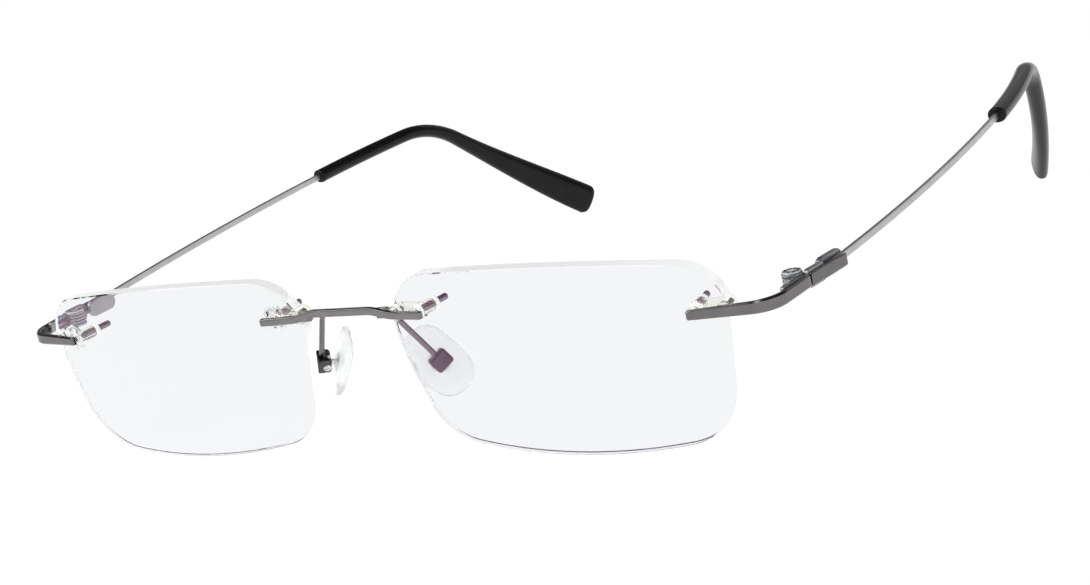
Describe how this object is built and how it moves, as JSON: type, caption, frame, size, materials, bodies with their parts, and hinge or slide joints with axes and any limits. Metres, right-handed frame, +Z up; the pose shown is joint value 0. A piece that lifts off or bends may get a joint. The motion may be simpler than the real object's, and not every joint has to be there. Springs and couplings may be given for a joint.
{
  "type": "rimless eyeglasses",
  "caption": "Rimless eyeglasses with drilled lenses, metal bridge, rocking nose pads, folding spring-strip temples and black ear tips.",
  "frame": {"origin": "on the surface the open glasses stand on, under the middle of their box", "axes": "+X to the right as seen from the front, +Y from the lenses back towards the ear tips, +Z up"},
  "size_m": [0.14, 0.1484, 0.0288],
  "materials": {
    "lens": "clear, polished, with a faint anti-reflection tint",
    "gunmetal": "grey plated, satin",
    "steel": "satin",
    "clear_plastic": "clear, slightly yellowed",
    "pad_silicone": "clear, soft, slightly cloudy",
    "black_plastic": "black, satin gloss"
  },
  "bodies": {
    "front": {"bridge": "gunmetal", "lens_right": "lens", "lens_left": "lens", "endpiece_right": "gunmetal", "endpiece_left": "gunmetal", "sleeve_nose_right": "clear_plastic", "sleeve_nose_left": "clear_plastic", "sleeve_side_right": "clear_plastic", "sleeve_side_left": "clear_plastic", "pad_arm_right": "gunmetal", "pad_arm_left": "gunmetal", "pad_box_right": "gunmetal", "pad_box_left": "gunmetal", "pad_screw_right": "steel", "pad_screw_left": "steel", "hinge_base_right": "gunmetal", "hinge_base_left": "gunmetal", "hinge_screw_right": "steel", "hinge_screw_left": "steel"},
    "temple_right": {"temple_leaf_right": "gunmetal", "temple_block_right": "gunmetal", "temple_clamp_right": "gunmetal", "temple_strip_right": "steel", "temple_tip_right": "black_plastic"},
    "temple_left": {"temple_leaf_left": "gunmetal", "temple_block_left": "gunmetal", "temple_clamp_left": "gunmetal", "temple_strip_left": "steel", "temple_tip_left": "black_plastic"},
    "pad_right": {"nose_pad_right": "pad_silicone", "pad_insert_right": "steel"},
    "pad_left": {"nose_pad_left": "pad_silicone", "pad_insert_left": "steel"}
  },
  "joints": [
    {"name": "fold_right", "type": "hinge", "parent": "front", "child": "temple_right", "pos_m": [0.06583, -0.05924, 0.02053], "axis": [0, 0, 1], "range_deg": [0, 85]},
    {"name": "fold_left", "type": "hinge", "parent": "front", "child": "temple_left", "pos_m": [-0.06583, -0.05924, 0.02053], "axis": [0, 0, -1], "range_deg": [0, 79]},
    {"name": "rock_right", "type": "hinge", "parent": "front", "child": "pad_right", "pos_m": [0.01095, -0.06578, 0.0135], "axis": [0.5331, 0.6548, 0.5357], "range_deg": [-8, 8]},
    {"name": "rock_left", "type": "hinge", "parent": "front", "child": "pad_left", "pos_m": [-0.01095, -0.06578, 0.0135], "axis": [0.5331, -0.6548, -0.5357], "range_deg": [-8, 8]}
  ]
}
